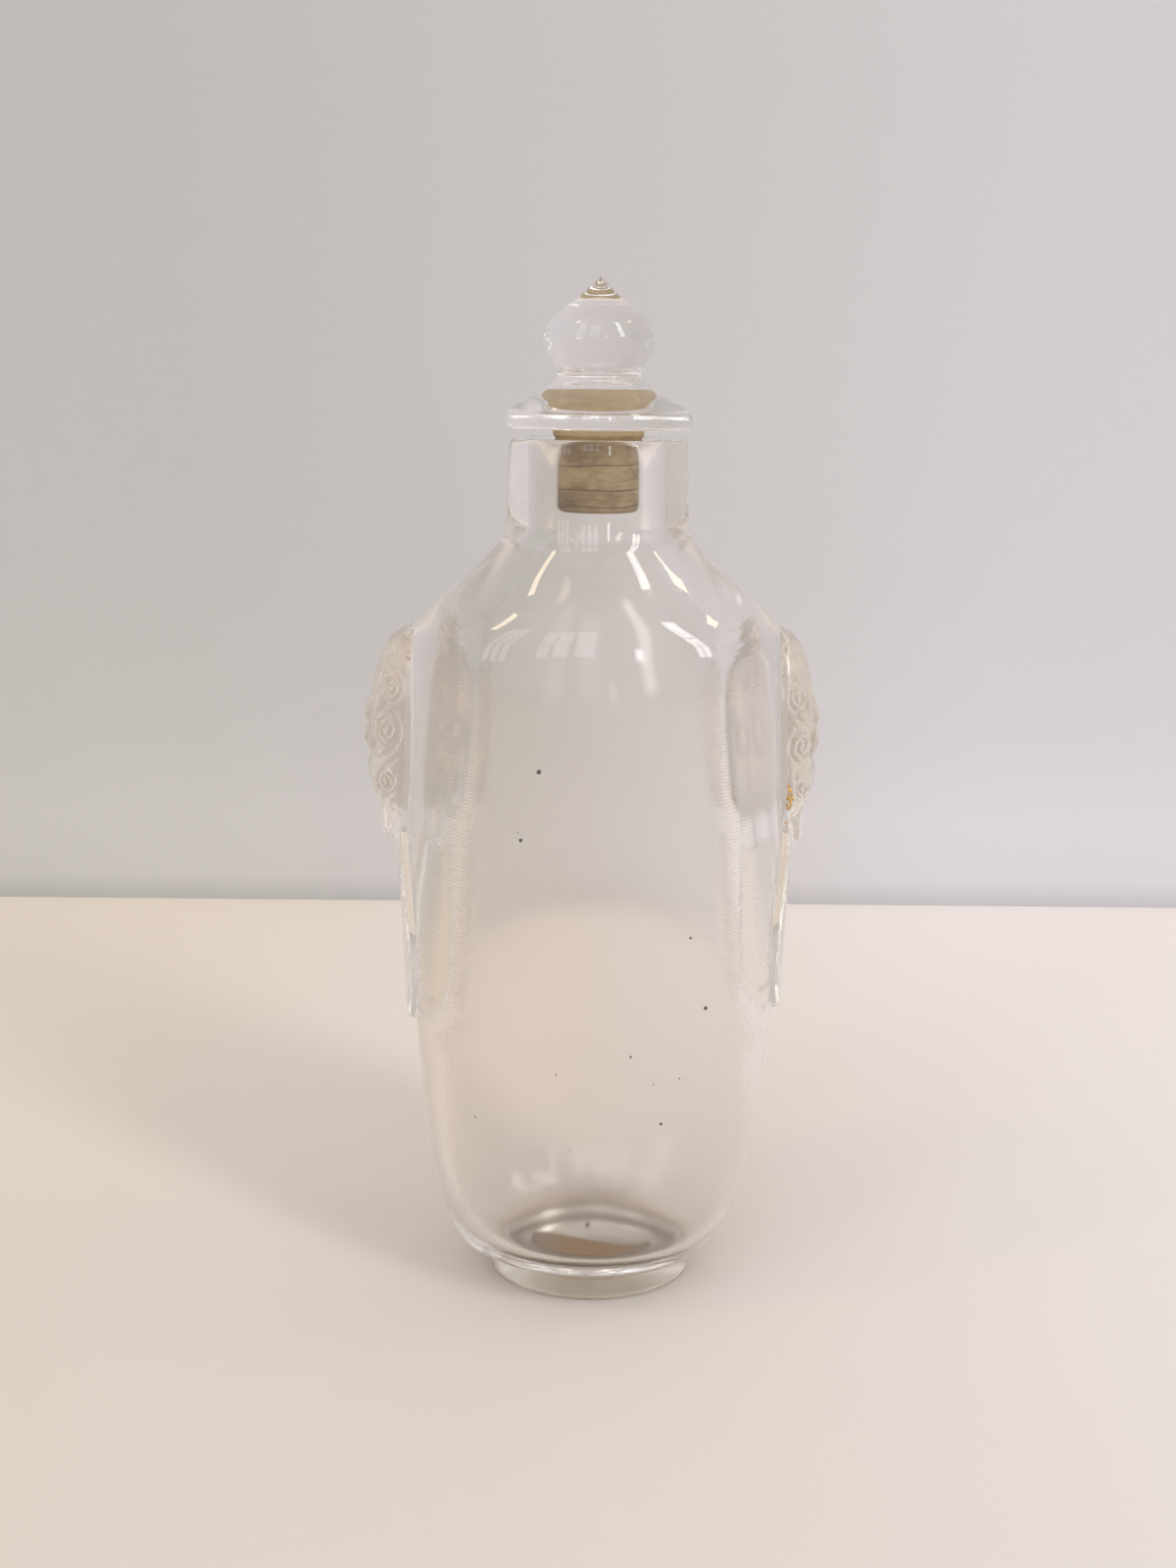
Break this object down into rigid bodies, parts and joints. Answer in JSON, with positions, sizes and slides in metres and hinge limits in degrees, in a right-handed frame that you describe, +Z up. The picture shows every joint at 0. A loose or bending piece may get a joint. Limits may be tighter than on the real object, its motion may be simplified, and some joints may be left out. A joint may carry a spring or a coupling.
{
  "type": "snuff bottle",
  "caption": "Small clear hollow bottle with an oval foot, a beast mask and mock ring carved on each narrow side, a cork and a turned clear cap.",
  "frame": {"origin": "centre of the foot's underside, on the plane that the bottle stands on", "axes": "+Z up along the neck, +X towards the narrow side on the right in the picture, -Y towards the camera"},
  "size_m": [0.0319, 0.0206, 0.0729],
  "materials": {
    "clear_crystal": "polished, clear",
    "clear_cap": "polished, clear",
    "tan_cork": "matt"
  },
  "bodies": {
    "root": {"bottle": "clear_crystal", "stopper": "clear_cap", "cork": "tan_cork"}
  },
  "joints": []
}
